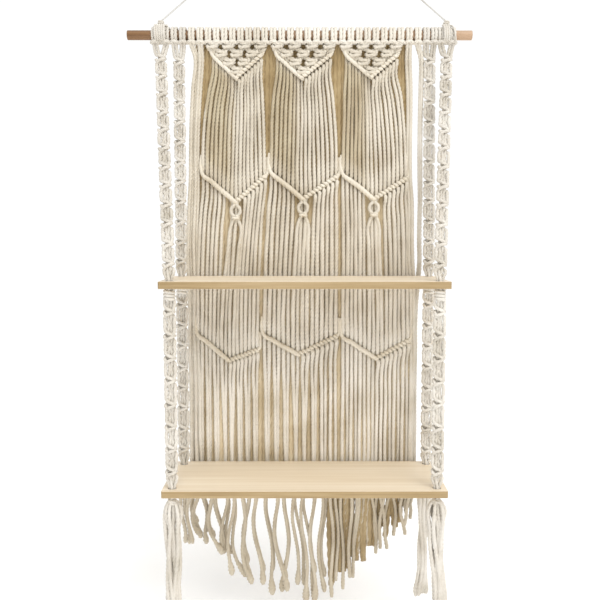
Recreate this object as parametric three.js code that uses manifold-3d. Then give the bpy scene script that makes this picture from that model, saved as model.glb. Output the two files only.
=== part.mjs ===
// A macrame wall shelf: two pine boards hung on four knotted braids in front of a panel of straight
// cotton strands, all tied to one wooden dowel that a thin cord hangs from a nail.
//
// Units are millimetres, +Z is up, +X is the viewer's right and -Y faces the room. The origin is the
// point where the nail enters the wall, so the wall is the plane y = 0.
//
// Soft pieces are plain here: a strand is a tube of three or four sides, a braid is a bar whose
// ridges follow its knots, and a knotted bar is ridged where one strand is wrapped beside the next.

import * as THREE from 'three';
import { mergeVertices } from 'three/addons/utils/BufferGeometryUtils.js';
import Module from 'manifold-3d';

const wasm = await Module();
wasm.setup();

// ---- Driving dimensions -------------------------------------------------------------------------

const GAP = 0.3;              // clearance between pieces that touch in the real object
const SLIVER = 0.01;          // corners of joined solids closer than this become one
const CORD = 3.6;             // cotton cord of the panel and the braids
const STRAND = 2.1;           // corner radius of a strand's three-sided tube
const THIN = 2.2;             // hanging cord
const DROP = 172;             // from the nail down to the dowel's axis
const AXIS_Y = -10.5;         // the dowel's axis stands this far in front of the wall

const NAIL = { shank: 3.4, reach: 25, head: 8, headThick: 1.6 };
const DOWEL = { diameter: 12.5, left: -233.4, right: 222.0 };

const SHELF = { width: 350, depth: 124, thick: 9, backY: -18.5, corner: 2, hole: 10.6, inset: 12 };
const UPPER_TOP = -318;       // tops of the shelves, measured from the dowel's axis
const LOWER_TOP = -573.5;

const HEAD = { cords: 1.9, outer: 10.1, between: 7.5, room: 8.7 };   // lark's head knots on the dowel
const BAR = { high: 6.4, back: 2.8, front: 3.4, ridge: 1.3 };   // knotted bars, a ridge stands out in front
const OVERRUN = { x: 2, z: 1.6 };     // how far the left arm of a V runs past its point
const KNOT = { wide: 17.6, high: 15.4, face: 0.62, deep: 6.8 };   // one square knot of the triangles
const RING = { radius: 6.4, tube: 2.6 };                  // eye of cord under the second zigzag
const EYE_ROOM = 11.6;                                    // half the room that its neighbours leave it
const EYE_DROP = 11.8;                                    // from the zigzag's point to the eye's centre

const BRAID = { pitch: 30, knot: 7.0, waist: 4.9, flat: 0.62, neck: 4.5, stop: 7.6, stopHigh: 15 };
const TASSEL = { locks: 7, spread: 11, head: 8.2, headHigh: 16, lock: 2.4 };
const FRINGE = { sway: 2.4, bends: 3, layer: 2.2 };
const WRAPS = 7;              // ridges that show on the right arm of a V
const SHARED = 20;            // strands on each outer V of the third zigzag, with the four side ones

// The units of the top row: where each starts and ends, how many knots it has on the dowel and, for a
// knotted triangle, the point of its border below the dowel's axis.
const UNITS = [
  { name: 'left side', from: -153.8, to: -131.4, knots: 2 },
  { name: 'first triangle', from: -131.4, to: -46.6, knots: 8, point: { x: -90.1, z: -56.5 } },
  { name: 'middle triangle', from: -46.6, to: 44.9, knots: 8, point: { x: -3.4, z: -56.0 } },
  { name: 'last triangle', from: 44.9, to: 132.8, knots: 8, point: { x: 88.7, z: -55.0 } },
  { name: 'right side', from: 132.8, to: 155.7, knots: 2 },
];
const BORDER = { inset: 9, z: -25.4 };   // upper ends of a triangle's border
const NET = { rows: [4, 3, 2, 1], top: -15, step: 9.6, lean: 0.04 };
const STRAND_TOP = -7;        // where the strands start, behind the dowel's knots
const SIDE_LEVEL = -182;      // where the side strands pass the second zigzag

// Each V of the two zigzags: its upper left end, its point and its upper right end.
const SECOND_ZIGZAG = [
  { left: [-137.9, -180.4], point: [-92.0, -219.0], right: [-50.2, -183.1] },
  { left: [-46.9, -177.8], point: [-1.3, -215.0], right: [46.0, -183.7] },
  { left: [49.5, -180.4], point: [94.0, -215.0], right: [139.3, -186.4] },
];
const THIRD_ZIGZAG = [
  { left: [-147.1, -396.2], point: [-102.4, -434.1], right: [-61.4, -418.9] },
  { left: [-57.2, -397.6], point: [-8.1, -425.9], right: [46.5, -399.7] },
  { left: [50.6, -400.4], point: [98.6, -431.4], right: [144.8, -405.9] },
];

// The cut of the fringe's lower edge: its height below the dowel's axis at some places across it.
const FRINGE_CUT = [
  { x: -152, z: -682 }, { x: -130, z: -700 }, { x: -98, z: -741 }, { x: -62, z: -756 },
  { x: -29, z: -765 }, { x: 6, z: -775 }, { x: 48, z: -761 }, { x: 70, z: -743 },
  { x: 91, z: -716 }, { x: 126, z: -684 }, { x: 142, z: -664 },
];

// The four braids: side, the x of their first and second knot on the dowel, and the shelf hole that
// they run through, front or back. Each ends below the lower shelf in a tassel of this length. One
// hole lies further out than the others.
const BRAIDS = [
  { name: 'front_left', side: -1, heads: [-196.5, -181.5], hole: 'front', tassel: 176 },
  { name: 'back_left', side: -1, heads: [-171.0, -159.9], hole: 'back', tassel: 92 },
  { name: 'front_right', side: 1, heads: [180.5, 195.5], hole: 'front', tassel: 172 },
  { name: 'back_right', side: 1, heads: [161.0, 171.3], hole: 'back', tassel: 172, out: 3.2 },
];

// Where the hanging cord is tied: between the two outer braid knots at each end.
const HANGER = [
  { name: 'hanger_knot_left', x: -189.0 },
  { name: 'hanger_knot_right', x: 188.0 },
];
const WRAP = { wide: 5.6, outer: 10.6, knob: 5.2, lift: 13.2 };

// ---- Materials ----------------------------------------------------------------------------------

const COTTON = new THREE.MeshStandardMaterial({ color: 0xeadfc8, roughness: 0.95, metalness: 0 });
const PALE_COTTON = new THREE.MeshStandardMaterial({ color: 0xf3ecdc, roughness: 0.95, metalness: 0 });
const WHITE_CORD = new THREE.MeshStandardMaterial({ color: 0xe6e2da, roughness: 0.85, metalness: 0 });
const BOARD = new THREE.MeshStandardMaterial({ color: 0xe2cba4, roughness: 0.6, metalness: 0 });
const ROD = new THREE.MeshStandardMaterial({ color: 0xc48d5e, roughness: 0.55, metalness: 0 });
const STEEL = new THREE.MeshStandardMaterial({ color: 0xb9b6ae, roughness: 0.35, metalness: 1 });

// ---- Small helpers ------------------------------------------------------------------------------

const group = new THREE.Group();
const DOWEL_Z = -DROP;

/** A point given by its place across, its height below the dowel's axis and its depth from it. */
const at = (x, z, forward = 0) => new THREE.Vector3(x, AXIS_Y - forward, DOWEL_Z + z);

/** The same small unevenness every time: a number from -1 to 1 for a count and a seed. */
const uneven = (i, seed = 0) => Math.sin(i * 12.9898 + seed * 78.233) * Math.cos(i * 4.1414 + seed);

/** Height on the straight lines through a list of { x, z } rows, at a given x. */
function heightAt(rows, x) {
  for (let i = 1; i < rows.length; i += 1) {
    if (x <= rows[i].x || i === rows.length - 1) {
      const a = rows[i - 1];
      const b = rows[i];
      const t = THREE.MathUtils.clamp((x - a.x) / (b.x - a.x), 0, 1);
      return THREE.MathUtils.lerp(a.z, b.z, t);
    }
  }
  return rows[0].z;
}

/** The zigzag's line as rows of x and z, so that a strand can find where it meets it. */
const lineOf = (zigzag) => zigzag.flatMap((v) => [v.left, v.point, v.right])
  .map(([x, z]) => ({ x, z }));

/** A route whose stations are exactly the points it is given. */
class Route extends THREE.Curve {
  constructor(points) {
    super();
    this.points = points;
  }

  getPointAt(u) {
    return this.points[Math.round(u * (this.points.length - 1))].clone();
  }

  getTangentAt(u) {
    const i = Math.round(u * (this.points.length - 1));
    const before = this.points[Math.max(i - 1, 0)];
    const after = this.points[Math.min(i + 1, this.points.length - 1)];
    return after.clone().sub(before).normalize();
  }
}

/** A closed tube with flat sides, one ring of corners at each point of its route. */
function tube(points, radius, sides) {
  const section = new THREE.Shape();
  for (let i = 0; i < sides; i += 1) {
    const angle = (2 * Math.PI * i) / sides;
    const place = [radius * Math.cos(angle), radius * Math.sin(angle)];
    if (i === 0) section.moveTo(...place);
    else section.lineTo(...place);
  }
  section.closePath();
  return new THREE.ExtrudeGeometry(section, {
    steps: points.length - 1,
    bevelEnabled: false,
    extrudePath: new Route(points),
  });
}

/** A solid of revolution between two points, from rows of [share of the length, radius]. */
function turned(start, end, rows, sides, flat = 1) {
  const across = sides === 4 ? Math.SQRT2 : 1;   // a square section is given by its half width
  const length = start.distanceTo(end);
  const profile = [new THREE.Vector2(0, rows[0][0] * length)];
  rows.forEach(([share, radius]) => profile.push(
    new THREE.Vector2(radius * across, share * length)));
  profile.push(new THREE.Vector2(0, rows[rows.length - 1][0] * length));
  const geometry = new THREE.LatheGeometry(profile, sides);
  if (sides === 4) geometry.rotateY(Math.PI / 4);
  geometry.scale(1, 1, flat);
  const turn = new THREE.Quaternion().setFromUnitVectors(
    new THREE.Vector3(0, 1, 0), end.clone().sub(start).normalize());
  geometry.applyQuaternion(turn);
  geometry.translate(start.x, start.y, start.z);
  return geometry;
}

/** A sleeve round the dowel, from rows of [x, outer radius]. */
function sleeve(rows, sides) {
  const inner = (DOWEL.diameter / 2 + GAP) / Math.cos(Math.PI / sides);
  const profile = [new THREE.Vector2(inner, rows[0][0])];
  rows.forEach(([x, radius]) => profile.push(new THREE.Vector2(radius, x)));
  profile.push(new THREE.Vector2(inner, rows[rows.length - 1][0]));
  profile.push(profile[0].clone());
  const geometry = new THREE.LatheGeometry(profile, sides);
  geometry.rotateZ(-Math.PI / 2);
  geometry.translate(0, AXIS_Y, DOWEL_Z);
  return geometry;
}

/** A lump of given width, depth and height, for one knot. */
function lump(centre, wide, deep, high) {
  const geometry = new THREE.OctahedronGeometry(0.5, 1);
  geometry.scale(wide, deep, high);
  geometry.translate(centre.x, centre.y, centre.z);
  return geometry;
}

/** Turns a closed three.js geometry into a solid that can be joined and cut. */
function solid(geometry) {
  const bare = geometry.index ? geometry.toNonIndexed() : geometry;
  bare.deleteAttribute('normal');
  bare.deleteAttribute('uv');
  const merged = mergeVertices(bare, 1e-4);
  const corners = merged.index.array;
  const kept = [];
  for (let i = 0; i < corners.length; i += 3) {
    const [a, b, c] = [corners[i], corners[i + 1], corners[i + 2]];
    if (a !== b && b !== c && c !== a) kept.push(a, b, c);
  }
  const made = new wasm.Manifold(new wasm.Mesh({
    numProp: 3,
    vertProperties: new Float32Array(merged.attributes.position.array),
    triVerts: new Uint32Array(kept),
  }));
  return made.volume() < 0 ? flipped(merged, kept) : made;
}

/** The same solid with its faces turned the other way round. */
function flipped(merged, corners) {
  const turnedOver = new Uint32Array(corners.length);
  for (let i = 0; i < corners.length; i += 3) {
    turnedOver.set([corners[i], corners[i + 2], corners[i + 1]], i);
  }
  return new wasm.Manifold(new wasm.Mesh({
    numProp: 3,
    vertProperties: new Float32Array(merged.attributes.position.array),
    triVerts: turnedOver,
  }));
}

/** Joins closed geometries into one solid, two by two so that the work stays small. */
function joined(geometries) {
  let solids = geometries.map(solid);
  while (solids.length > 1) {
    const pairs = [];
    for (let i = 0; i < solids.length; i += 2) {
      pairs.push(i + 1 < solids.length ? solids[i].add(solids[i + 1]) : solids[i]);
    }
    solids = pairs;
  }
  return solids[0].simplify(SLIVER);
}

/** Adds a solid to the model as one named mesh. */
function addSolid(name, made, material) {
  const mesh = made.getMesh();
  const geometry = new THREE.BufferGeometry();
  geometry.setAttribute('position', new THREE.Float32BufferAttribute(mesh.vertProperties, 3));
  geometry.setIndex(new THREE.Uint32BufferAttribute(mesh.triVerts, 1));
  geometry.computeVertexNormals();
  const piece = new THREE.Mesh(geometry, material);
  piece.name = name;
  group.add(piece);
  return piece;
}

// ---- Nail, dowel and shelves --------------------------------------------------------------------

const nailProfile = [
  [0, NAIL.shank / 2], [NAIL.reach, NAIL.shank / 2], [NAIL.reach, NAIL.head / 2],
  [NAIL.reach + NAIL.headThick, NAIL.head / 2],
];
const nail = new THREE.LatheGeometry(
  [new THREE.Vector2(0, 0), ...nailProfile.map(([y, r]) => new THREE.Vector2(r, y)),
    new THREE.Vector2(0, NAIL.reach + NAIL.headThick)], 16);
nail.rotateX(Math.PI);   // the head points at the room, towards -Y
addSolid('nail', solid(nail), STEEL);

const dowel = new THREE.CylinderGeometry(
  DOWEL.diameter / 2, DOWEL.diameter / 2, DOWEL.right - DOWEL.left, 32);
dowel.rotateZ(Math.PI / 2);
dowel.translate((DOWEL.left + DOWEL.right) / 2, AXIS_Y, DOWEL_Z);
addSolid('dowel', solid(dowel), ROD);

const HOLE_X = SHELF.width / 2 - SHELF.inset;
const HOLE_Y = {
  back: SHELF.backY - SHELF.inset,
  front: SHELF.backY - SHELF.depth + SHELF.inset,
};

/** The middle of the hole that a braid runs through. */
function holeOf(braid) {
  return [braid.side * HOLE_X + (braid.out ?? 0), HOLE_Y[braid.hole]];
}

/** A board with softened corners and a hole near each of them. */
function shelf(name, top) {
  const [w, back, front, r] = [SHELF.width / 2, SHELF.backY, SHELF.backY - SHELF.depth, SHELF.corner];
  const outline = new THREE.Shape();
  outline.moveTo(-w + r, front);
  outline.lineTo(w - r, front);
  outline.absarc(w - r, front + r, r, -Math.PI / 2, 0, false);
  outline.lineTo(w, back - r);
  outline.absarc(w - r, back - r, r, 0, Math.PI / 2, false);
  outline.lineTo(-w + r, back);
  outline.absarc(-w + r, back - r, r, Math.PI / 2, Math.PI, false);
  outline.lineTo(-w, front + r);
  outline.absarc(-w + r, front + r, r, Math.PI, 1.5 * Math.PI, false);
  for (const braid of BRAIDS) {
    const hole = new THREE.Path();
    hole.absarc(...holeOf(braid), SHELF.hole / 2, 0, 2 * Math.PI, true);
    outline.holes.push(hole);
  }
  const board = new THREE.ExtrudeGeometry(
    outline, { depth: SHELF.thick, bevelEnabled: false, curveSegments: 6 });
  board.translate(0, 0, DOWEL_Z + top - SHELF.thick);
  addSolid(name, solid(board), BOARD);
}

shelf('shelf_upper', UPPER_TOP);
shelf('shelf_lower', LOWER_TOP);

// ---- Knots round the dowel ----------------------------------------------------------------------

/** One lark's head knot: two cords side by side over the dowel, with a dip on each side. */
function headRows(x, room) {
  const step = HEAD.cords;
  return [
    [x - room / 2, HEAD.between], [x - step, HEAD.outer], [x + step, HEAD.outer],
    [x + room / 2, HEAD.between],
  ];
}

// ---- Panel --------------------------------------------------------------------------------------

const panel = [];

// The row of knots on the dowel is one ridged bar.
const rowOfHeads = [];
UNITS.forEach((unit) => {
  const room = (unit.to - unit.from) / unit.knots;
  for (let i = 0; i < unit.knots; i += 1) {
    const rows = headRows(unit.from + (i + 0.5) * room, room);
    rowOfHeads.push(...(rowOfHeads.length ? rows.slice(1) : rows));
  }
});
panel.push(sleeve(rowOfHeads, 8));

/** A knotted bar: smooth where only its holding cord shows, or ridged by the cords round it. */
function bar(from, to, wraps) {
  const [start, end] = [at(...from), at(...to)];
  const length = start.distanceTo(end);
  const outline = new THREE.Shape();
  outline.moveTo(0, -BAR.back);
  outline.lineTo(length, -BAR.back);
  outline.lineTo(length, BAR.front);
  for (let i = 2 * wraps - 1; i > 0; i -= 1) {
    outline.lineTo((i / (2 * wraps)) * length, BAR.front + (i % 2 ? BAR.ridge : 0));
  }
  outline.lineTo(0, BAR.front);
  outline.closePath();
  const geometry = new THREE.ExtrudeGeometry(outline, { depth: BAR.high, bevelEnabled: false });
  geometry.translate(0, 0, -BAR.high / 2);
  const along = end.clone().sub(start).normalize();
  const forward = new THREE.Vector3(0, -1, 0);
  const across = new THREE.Vector3().crossVectors(along, forward);
  geometry.applyMatrix4(new THREE.Matrix4().makeBasis(along, forward, across));
  geometry.translate(start.x, start.y, start.z);
  return geometry;
}

/** Both arms of one V. The left arm is smooth and the right arm is ridged. */
function chevron(v) {
  const [px, pz] = v.point;
  return [bar(v.left, [px + OVERRUN.x, pz - OVERRUN.z], 0),
    bar([px - OVERRUN.x / 2, pz - OVERRUN.z / 2], v.right, WRAPS)];
}

/** The small knots of one triangle, in rows of four, three, two and one. Each is a low block whose
 *  corners run into those of its neighbours, so that a small hole stays open between any four. */
function knottedNet(unit) {
  const parts = [];
  const step = (unit.to - unit.from) / NET.rows[0];
  const middle = (unit.from + unit.to) / 2;
  NET.rows.forEach((count, row) => {
    const z = NET.top - row * NET.step;
    for (let i = 0; i < count; i += 1) {
      const share = 1 - NET.lean * row;
      const x = middle * share + unit.point.x * (1 - share) + (i - (count - 1) / 2) * step * share;
      const block = new THREE.CylinderGeometry(KNOT.face / Math.SQRT2, Math.SQRT1_2, 1, 4);
      block.rotateY(Math.PI / 4);
      block.rotateX(Math.PI / 2);
      block.scale(KNOT.wide * share, KNOT.deep, KNOT.high);
      const centre = at(x, z + 0.13 * i, 1 + 0.07 * row + 0.05 * i);   // no two blocks share a face's plane
      block.translate(centre.x, centre.y, centre.z);
      parts.push(block);
    }
  });
  return parts;
}

UNITS.filter((unit) => unit.point).forEach((unit) => {
  const border = {
    left: [unit.from + BORDER.inset, BORDER.z],
    point: [unit.point.x, unit.point.z],
    right: [unit.to - BORDER.inset, BORDER.z],
  };
  panel.push(...chevron(border), ...knottedNet(unit));
});

SECOND_ZIGZAG.forEach((v) => {
  panel.push(...chevron(v));
  const eye = new THREE.TorusGeometry(RING.radius, RING.tube, 4, 8);
  eye.rotateX(Math.PI / 2);
  const centre = at(v.point[0], v.point[1] - EYE_DROP, 1);
  eye.scale(1, 0.9, 1.1);
  eye.translate(centre.x, centre.y, centre.z);
  panel.push(eye);
});

/** Where the strands of a unit run: at the dowel or border, on the second and the third zigzag. The
 *  side strands stay beside the second zigzag, and join the outer arms of the third. */
function strandsOf(unit, index) {
  const count = 2 * unit.knots;
  const places = Array.from({ length: count }, (_, k) => k);
  if (!unit.point) {
    const left = unit.from < 0;
    const [a, b] = left ? [SECOND_ZIGZAG[0], THIRD_ZIGZAG[0]] : [SECOND_ZIGZAG[2], THIRD_ZIGZAG[2]];
    return places.map((k) => ({
      top: { x: THREE.MathUtils.lerp(unit.from, unit.to, (k + 0.5) / count), z: STRAND_TOP },
      second: left ? a.left[0] - 3 - 4.2 * (count - 1 - k) : a.right[0] + 3 + 4.2 * k,
      third: THREE.MathUtils.lerp(b.left[0], b.right[0],
        (k + 0.5 + (left ? 0 : SHARED - count)) / SHARED),
    }));
  }
  const [a, b] = [SECOND_ZIGZAG[index - 1], THIRD_ZIGZAG[index - 1]];
  const border = [
    { x: unit.from + BORDER.inset, z: BORDER.z }, unit.point,
    { x: unit.to - BORDER.inset, z: BORDER.z },
  ];
  const [first, all] = [[4, SHARED], [0, count], [0, SHARED]][index - 1];
  return places.map((k) => {
    const share = (k + 0.5) / count;
    const x = THREE.MathUtils.lerp(border[0].x, border[2].x, share);
    return {
      top: { x, z: heightAt(border, x) },
      second: THREE.MathUtils.lerp(a.left[0], a.right[0], share),
      third: THREE.MathUtils.lerp(b.left[0], b.right[0], (k + 0.5 + first) / all),
      fromMiddle: k - (count - 1) / 2,
      point: a.point,
    };
  });
}

const secondLine = lineOf(SECOND_ZIGZAG);
const thirdLine = lineOf(THIRD_ZIGZAG);
const strands = UNITS.flatMap((unit, index) => strandsOf(unit, index));
const MEET = 5.8;              // the panel ends this far above the third zigzag
const BESIDE = 5.2;            // and clears its steep parts by as much to each side
const clearOf = (x) => MEET
  + Math.max(...[-BESIDE, 0, BESIDE].map((d) => heightAt(thirdLine, x + d)));

strands.forEach((strand, i) => {
  const sway = 0.8 * uneven(i, 3);
  const end = { x: strand.third, z: clearOf(strand.third) };
  const points = [at(strand.top.x, strand.top.z)];
  if (strand.point) {
    points.push(at(strand.second, heightAt(secondLine, strand.second)));
  } else {
    points.push(at(strand.second + sway, SIDE_LEVEL));
  }
  const away = Math.abs(strand.fromMiddle ?? Infinity);
  if (away < 1) {
    // The two middle strands end in the bar and start again below the eye.
    const [px, pz] = strand.point;
    panel.push(tube(points.splice(0), STRAND, 3));
    points.push(at(px + Math.sign(strand.fromMiddle) * 2.6, pz - EYE_DROP - RING.radius));
  } else if (away < 2) {
    // Their neighbours bow out round it.
    const [px, pz] = strand.point;
    points.push(at(px + Math.sign(strand.fromMiddle) * EYE_ROOM, pz - EYE_DROP));
  }
  points.push(at(end.x, end.z + Math.abs(uneven(i, 1)) * 0.4));
  panel.push(tube(points, STRAND, 3));
});

addSolid('macrame_panel', joined(panel), COTTON);

// ---- Fringe below the third zigzag --------------------------------------------------------------

const fringe = [];
THIRD_ZIGZAG.forEach((v, i) => {
  fringe.push(...chevron(v));
  if (i > 0) fringe.push(bar(THIRD_ZIGZAG[i - 1].right, v.left, 0));
});
strands.forEach((strand, i) => {
  const start = { x: strand.third, z: heightAt(thirdLine, strand.third) };
  const foot = start.x + 2.5 * uneven(i, 5);
  const length = start.z - heightAt(FRINGE_CUT, foot) + 6 * uneven(i, 7);
  const layer = i % 2 ? FRINGE.layer : -FRINGE.layer;   // every other strand hangs a little in front
  const points = [at(start.x, start.z, layer * 0.5)];
  const straight = LOWER_TOP - SHELF.thick - 4;
  points.push(at(THREE.MathUtils.lerp(start.x, foot, 0.5), straight, layer));
  const rest = straight - (start.z - length);
  for (let bend = 1; bend <= FRINGE.bends; bend += 1) {
    const share = bend / FRINGE.bends;
    const wave = FRINGE.sway * Math.sin(bend * 2.1 + 3 * uneven(i, 11)) * Math.min(1, bend / 2);
    points.push(at(THREE.MathUtils.lerp((start.x + foot) / 2, foot, share) + wave,
      straight - rest * share, layer * (1 + 0.2 * uneven(i + bend, 13))));
  }
  fringe.push(tube(points, STRAND, 3));
});
addSolid('fringe', joined(fringe), COTTON);

// ---- Braids and their tassels -------------------------------------------------------------------

/** A run of square knots between two points: wide at each knot, with a waist between two. */
function sinnet(start, end) {
  const count = Math.round(start.distanceTo(end) / BRAID.pitch);
  const rows = [];
  for (let i = 0; i <= 2 * count; i += 1) {
    rows.push([i / (2 * count), i % 2 ? BRAID.knot : BRAID.waist]);
  }
  return turned(start, end, rows, 4, BRAID.flat);
}

/** The round stop knot below a board. */
function stopKnot(x, y, top) {
  const [r, h] = [BRAID.stop, BRAID.stopHigh];
  return turned(new THREE.Vector3(x, y, top), new THREE.Vector3(x, y, top - h),
    [[0, r * 0.75], [0.4, r], [1, r * 0.65]], 6);
}

BRAIDS.forEach((braid, index) => {
  const [x, y] = holeOf(braid);
  const parts = [];
  const gather = at((braid.heads[0] + braid.heads[1]) / 2, -22, braid.hole === 'front' ? 6 : 1);
  braid.heads.forEach((head) => {
    parts.push(sleeve(headRows(head, HEAD.room), 8));
    const to = gather.clone().add(new THREE.Vector3((head - gather.x) * 0.2, 0, -3));
    parts.push(tube([at(head, -7.4, 2), to], CORD, 4));
  });
  const boards = [DOWEL_Z + UPPER_TOP, DOWEL_Z + LOWER_TOP];
  const stops = boards.map((top) => top - SHELF.thick - GAP);
  const neck = [new THREE.Vector3(x, y, boards[0] + 8), new THREE.Vector3(x, y, boards[1] + 8)];
  parts.push(sinnet(gather, neck[0]));
  parts.push(sinnet(new THREE.Vector3(x, y, stops[0] - BRAID.stopHigh + 3), neck[1]));
  neck.forEach((above, i) => {
    parts.push(turned(above.clone().setZ(above.z + 3), new THREE.Vector3(x, y, stops[i] - 2),
      [[0, BRAID.neck], [1, BRAID.neck]], 6));
    if (i === 0) parts.push(stopKnot(x, y, stops[i]));
    else parts.push(turned(new THREE.Vector3(x, y, stops[i]), new THREE.Vector3(x, y, stops[i] - 4),
      [[0, BRAID.stop * 0.8], [1, BRAID.stop * 0.7]], 6));
  });
  addSolid(`braid_${braid.name}`, joined(parts), PALE_COTTON);

  // The tassel: a knot for its head, and locks that fan out and hang to its length.
  const head = stops[1] - 4 - GAP;
  const locks = [turned(new THREE.Vector3(x, y, head), new THREE.Vector3(x, y, head - TASSEL.headHigh),
    [[0, TASSEL.head * 0.6], [0.4, TASSEL.head], [1, TASSEL.head * 0.65]], 6)];
  for (let i = 0; i < TASSEL.locks; i += 1) {
    const angle = (2 * Math.PI * i) / TASSEL.locks + 0.4 * index;
    const reach = TASSEL.spread * (0.75 + 0.25 * uneven(i, index));
    const [dx, dy] = [Math.cos(angle), Math.sin(angle) * 0.7];
    const length = braid.tassel * (1 + 0.04 * uneven(i, index + 20));
    const points = [0, 0.3, 0.65, 1].map((share) => {
      const out = share === 0 ? 2.4 : reach * (0.55 + 0.45 * share) + 1.2 * uneven(i + 9 * share, index);
      return new THREE.Vector3(x + dx * out, y + dy * out, head - TASSEL.headHigh + 5 - share * length);
    });
    locks.push(tube(points, TASSEL.lock, 3));
  }
  addSolid(`tassel_${braid.name}`, joined(locks), PALE_COTTON);
});

// ---- Hanging cord -------------------------------------------------------------------------------

HANGER.forEach(({ name, x }) => {
  const half = WRAP.wide / 2;
  const rows = [[x - half, WRAP.outer - 1.2], [x - half * 0.6, WRAP.outer],
    [x, WRAP.outer - 0.7], [x + half * 0.6, WRAP.outer], [x + half, WRAP.outer - 1.2]];
  const knob = lump(at(x, WRAP.lift), WRAP.knob * 2 - 1, WRAP.knob * 2, WRAP.knob * 2 - 1);
  addSolid(name, joined([sleeve(rows, 8), knob]), WHITE_CORD);
});

// The cord runs from one knob up over the nail and down to the other. Over the nail it follows an arc
// just clear of the shank, and each leg leaves that arc along its tangent.
const bendRadius = NAIL.shank / 2 + GAP + THIN / 2;
const tieZ = WRAP.lift + WRAP.knob - 0.4;
const legs = HANGER.map(({ x }) => {
  const out = Math.sign(x);
  const foot = new THREE.Vector2(x - out * 1.5, DOWEL_Z + tieZ + THIN / 2);
  const reach = foot.length();
  const tilt = Math.acos(bendRadius / reach);
  const bearing = Math.atan2(foot.y, foot.x);
  return { foot, touch: bearing + out * tilt };
});
const STEPS = 24;
const line = [];
const [leftLeg, rightLeg] = legs;
const around = (angle) => new THREE.Vector2(Math.cos(angle), Math.sin(angle)).multiplyScalar(bendRadius);
const straightLeg = (from, to) => {
  for (let i = 0; i < STEPS; i += 1) line.push(from.clone().lerp(to, i / STEPS));
};
straightLeg(leftLeg.foot, around(leftLeg.touch));
const [startAngle, endAngle] = [THREE.MathUtils.euclideanModulo(leftLeg.touch, 2 * Math.PI),
  THREE.MathUtils.euclideanModulo(rightLeg.touch, 2 * Math.PI)];
for (let i = 0; i < 6; i += 1) line.push(around(THREE.MathUtils.lerp(startAngle, endAngle, i / 6)));
straightLeg(around(rightLeg.touch), rightLeg.foot);
line.push(rightLeg.foot);
const cordRoute = line.map((p) => new THREE.Vector3(p.x, AXIS_Y, p.y));
addSolid('hanger_cord', solid(tube(cordRoute, THIN / 2, 8)), WHITE_CORD);

export default group;
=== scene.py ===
# %% [markdown]
# # A macrame wall shelf, dressed in Blender
# The real object is a wooden dowel with a knotted cotton panel, four braids that carry two pine
# boards, and a thin cord that hangs the whole from one nail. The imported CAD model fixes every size
# and place. This lesson gives each piece its real make: cords that are laid from three plies and
# tied in true knots, boards with softened edges, and finishes for cotton, wood and steel.
#
# Everything is in metres and in one shared frame. The origin is where the nail goes in, +X is to
# the viewer's right, -Y comes out towards the viewer and +Z is up.

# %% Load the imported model
import math

import bmesh
import bpy
from mathutils import Matrix, Vector


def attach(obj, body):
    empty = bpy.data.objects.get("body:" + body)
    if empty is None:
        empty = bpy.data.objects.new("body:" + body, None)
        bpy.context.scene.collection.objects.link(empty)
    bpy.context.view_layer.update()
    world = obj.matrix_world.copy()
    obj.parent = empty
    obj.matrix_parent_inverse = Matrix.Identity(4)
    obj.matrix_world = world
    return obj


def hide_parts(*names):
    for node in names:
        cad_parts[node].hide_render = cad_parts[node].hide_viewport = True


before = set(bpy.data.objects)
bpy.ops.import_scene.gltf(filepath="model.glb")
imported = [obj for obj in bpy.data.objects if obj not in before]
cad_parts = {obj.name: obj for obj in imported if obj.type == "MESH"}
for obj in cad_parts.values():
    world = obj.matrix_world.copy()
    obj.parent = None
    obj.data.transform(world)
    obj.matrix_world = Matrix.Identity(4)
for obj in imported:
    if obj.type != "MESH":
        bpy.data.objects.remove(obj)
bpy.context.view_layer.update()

# %% [markdown]
# ## One way to name a place
# A knotter measures down from the dowel, so the lesson does too. A station of a cord is given in
# millimetres: across, up from the dowel's axis, and forward from it. Its fourth number is how full
# the cord is there, because cotton is pressed thin inside a knot and swells where it hangs free.

# %% Stations of a cord
MM = 0.001
AXIS_Y = -10.5          # the dowel's axis, in front of the origin
DROP = 172.0            # from the nail down to the dowel's axis


def at(x, z, forward=0.0, full=1.0):
    """A station: across, up from the dowel's axis, forward from it, and how full the cord is."""
    return Vector((x * MM, (AXIS_Y - forward) * MM, (z - DROP) * MM, full))


def uneven(i, seed=0.0):
    """The same small unevenness every time: a number from -1 to 1 for a count and a seed."""
    return math.sin(i * 12.9898 + seed * 78.233) * math.cos(i * 4.1414 + seed)


print("the dowel's axis is at", tuple(round(c, 4) for c in at(0, 0)[:3]))

# %% [markdown]
# ## The camera
# The photograph was taken from straight in front, a little more than a metre away, with the lens
# tilted down by five degrees. The lens is 46 mm on a 36 mm wide sensor. The camera comes first,
# because the hanging cord is measured against what it sees.

# %% Camera
lens = bpy.data.cameras.new("camera")
lens.lens = 45.96
lens.sensor_width = 36.0
camera = bpy.data.objects.new("camera", lens)
camera.location = (-0.0079, -1.0504, -0.4326)
camera.rotation_euler = (math.radians(85.01), 0.0, math.radians(-0.14))
bpy.context.scene.collection.objects.link(camera)
bpy.context.scene.camera = camera
print("camera at", tuple(camera.location))

# %% [markdown]
# ## How a cord is made
# Macrame cord is laid from three plies that turn round each other, and that twist is what the eye
# reads as cotton cord. A plain round tube with a bump map would look like plastic hose from close
# by. So one curve follows the cord's middle line, a closed outline with three bumps is swept along
# it, and the outline turns a little at every station. Blender's curve does the sweeping, and the
# result is made a mesh whose seams are welded.

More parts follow.
